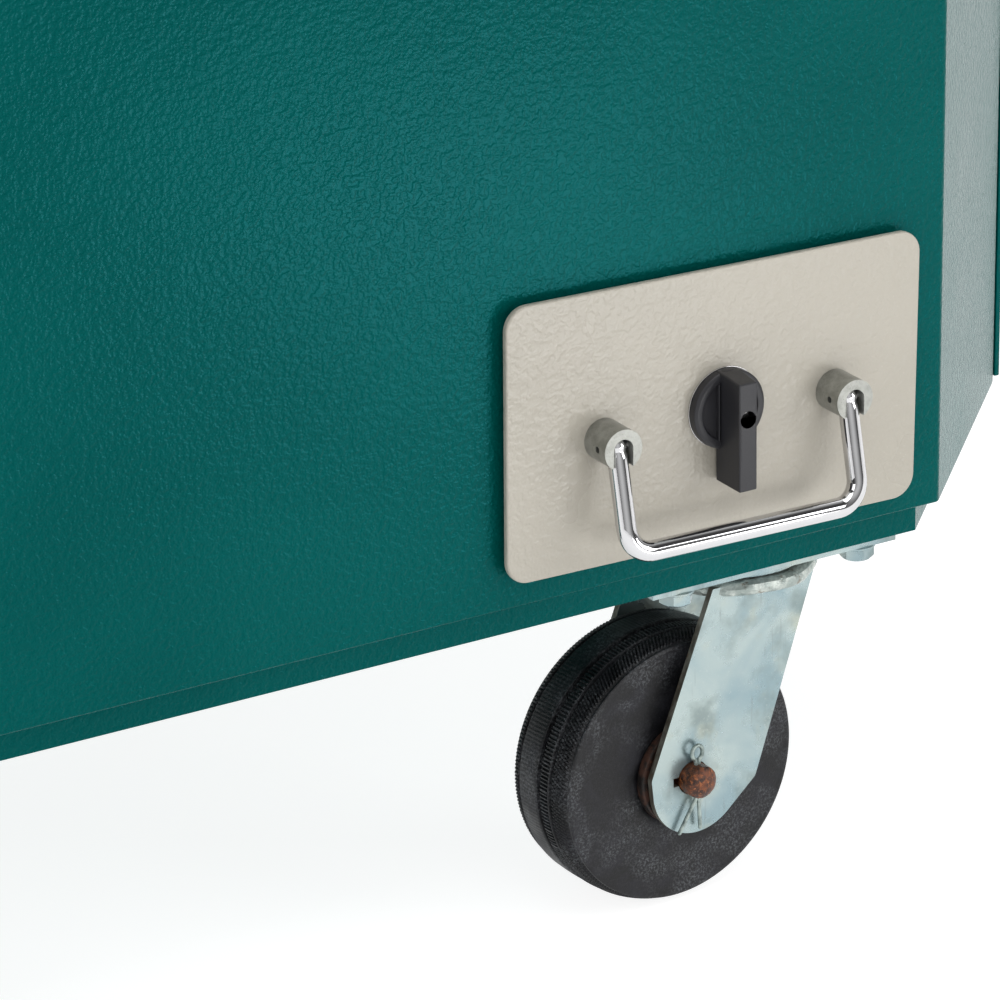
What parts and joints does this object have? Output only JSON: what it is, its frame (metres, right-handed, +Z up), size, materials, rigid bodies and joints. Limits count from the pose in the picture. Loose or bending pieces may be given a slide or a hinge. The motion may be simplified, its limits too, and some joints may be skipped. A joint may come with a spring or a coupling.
{
  "type": "rolling tool chest",
  "caption": "Chamfered sheet-steel tool chest on swivel and rigid rubber casters, with drawers, a hinged lid, an end door, bail handles and rotary knob latches.",
  "frame": {"origin": "on the floor under the middle of the whole object's box, handles and knobs included", "axes": "+Z up, -Y the front with the drawers, +X the end with the door"},
  "size_m": [1.1426, 0.6956, 0.904],
  "materials": {
    "green_paint": "glossy orange-peel powder coat",
    "beige_paint": "satin powder coat",
    "inner_steel": "satin grey coated sheet",
    "bare_steel": "plain ground steel",
    "charcoal_plastic": "fine-textured moulded plastic",
    "chrome": "polished chrome",
    "nickel": "satin nickel",
    "zinc_plate": "bright zinc plating with stains",
    "tyre": "solid black rubber, dusty",
    "rusty_steel": "rusty steel",
    "dark_steel": "dulled plated wire"
  },
  "bodies": {
    "chest": {"body_shell": "green_paint", "base_plinth": "green_paint", "inner_carcass": "inner_steel", "top_tray": "inner_steel", "bay_case": "inner_steel", "drawer_rails": "bare_steel", "lid_hinge_bases": "green_paint", "lid_hinge_pins": "bare_steel", "door_hinge_bases": "green_paint", "caster_plates": "zinc_plate", "caster_kingpins": "zinc_plate", "plate_bolts": "zinc_plate", "plate_nuts": "zinc_plate", "push_handle": "chrome", "handle_brackets": "zinc_plate", "rigid_forks": "zinc_plate", "rigid_axles": "rusty_steel", "rigid_cotters": "dark_steel"},
    "lid": {"lid": "green_paint", "lid_hinge_leaves": "green_paint"},
    "bay_drawer": {"bay_front": "beige_paint", "bay_box": "inner_steel", "bay_runners": "bare_steel", "knob_washer": "chrome", "latch_barrel": "zinc_plate", "bay_ferrules": "nickel", "bay_pivot_pins": "bare_steel"},
    "bay_latch": {"knob": "charcoal_plastic", "knob_screw": "bare_steel", "latch_spindle": "bare_steel", "latch_cam": "bare_steel", "cam_nut": "zinc_plate"},
    "bay_handle": {"bay_bail": "chrome"},
    "wide_drawer_1": {"wide_front_1": "beige_paint", "wide_box_1": "inner_steel", "wide_ferrules_1": "nickel"},
    "wide_handle_1": {"wide_bail_1": "chrome"},
    "wide_drawer_2": {"wide_front_2": "beige_paint", "wide_box_2": "inner_steel", "wide_ferrules_2": "nickel"},
    "wide_handle_2": {"wide_bail_2": "chrome"},
    "end_door": {"end_door": "green_paint", "door_hinge_leaves": "green_paint"},
    "door_latch": {"door_knob": "charcoal_plastic", "door_cam": "bare_steel"},
    "swivel_front": {"fork_front": "zinc_plate", "axle_front": "rusty_steel", "cotter_front": "dark_steel"},
    "wheel_front": {"tyre_front": "tyre", "hub_front": "rusty_steel"},
    "swivel_rear": {"fork_rear": "zinc_plate", "axle_rear": "rusty_steel", "cotter_rear": "dark_steel"},
    "wheel_rear": {"tyre_rear": "tyre", "hub_rear": "rusty_steel"},
    "wheel_left_front": {"tyre_left_front": "tyre", "hub_left_front": "rusty_steel"},
    "wheel_left_rear": {"tyre_left_rear": "tyre", "hub_left_rear": "rusty_steel"}
  },
  "joints": [
    {"name": "bay_drawer_slide", "type": "slide", "parent": "chest", "child": "bay_drawer", "axis": [0, -1, 0], "range_m": [0, 0.24]},
    {"name": "bay_handle_swing", "type": "hinge", "parent": "bay_drawer", "child": "bay_handle", "pos_m": [0.25483, -0.32823, 0.30497], "axis": [-0.9999, 0, 0.0157], "range_deg": [0, 76]},
    {"name": "bay_knob_turn", "type": "hinge", "parent": "bay_drawer", "child": "bay_latch", "pos_m": [0.2572, -0.31523, 0.3085], "axis": [0, 1, 0], "range_deg": [0, 90]},
    {"name": "caster_front_spin", "type": "hinge", "parent": "swivel_front", "child": "wheel_front", "pos_m": [0.25533, -0.24586, 0.08], "axis": [-0.0698, 0.9976, 0], "continuous": true},
    {"name": "caster_front_swivel", "type": "hinge", "parent": "chest", "child": "swivel_front", "pos_m": [0.3072, -0.24223, 0.189], "axis": [0, 0, 1], "continuous": true},
    {"name": "caster_rear_spin", "type": "hinge", "parent": "swivel_rear", "child": "wheel_rear", "pos_m": [0.25584, 0.2779, 0.08], "axis": [0.1564, 0.9877, 0], "continuous": true},
    {"name": "caster_rear_swivel", "type": "hinge", "parent": "chest", "child": "swivel_rear", "pos_m": [0.3072, 0.26977, 0.189], "axis": [0, 0, 1], "continuous": true},
    {"name": "door_knob_turn", "type": "hinge", "parent": "end_door", "child": "door_latch", "pos_m": [0.5473, -0.09923, 0.42], "axis": [-1, 0, 0], "range_deg": [0, 90]},
    {"name": "door_swing", "type": "hinge", "parent": "chest", "child": "end_door", "pos_m": [0.5488, 0.14177, 0.412], "axis": [0, 0, 1], "range_deg": [0, 110]},
    {"name": "lid_hinge", "type": "hinge", "parent": "chest", "child": "lid", "pos_m": [0.0232, 0.34277, 0.843], "axis": [-1, 0, 0], "range_deg": [0, 95]},
    {"name": "left_front_spin", "type": "hinge", "parent": "chest", "child": "wheel_left_front", "pos_m": [-0.2608, -0.24223, 0.08], "axis": [0, 1, 0], "continuous": true},
    {"name": "left_rear_spin", "type": "hinge", "parent": "chest", "child": "wheel_left_rear", "pos_m": [-0.2608, 0.26977, 0.08], "axis": [0, 1, 0], "continuous": true},
    {"name": "wide_1_handle_swing", "type": "hinge", "parent": "wide_drawer_1", "child": "wide_handle_1", "pos_m": [0.0232, -0.32823, 0.8015], "axis": [-1, 0, 0], "range_deg": [0, 76]},
    {"name": "wide_1_slide", "type": "slide", "parent": "chest", "child": "wide_drawer_1", "axis": [0, -1, 0], "range_m": [0, 0.38]},
    {"name": "wide_2_handle_swing", "type": "hinge", "parent": "wide_drawer_2", "child": "wide_handle_2", "pos_m": [0.0232, -0.32823, 0.6915], "axis": [-1, 0, 0], "range_deg": [0, 76]},
    {"name": "wide_2_slide", "type": "slide", "parent": "chest", "child": "wide_drawer_2", "axis": [0, -1, 0], "range_m": [0, 0.38]}
  ]
}
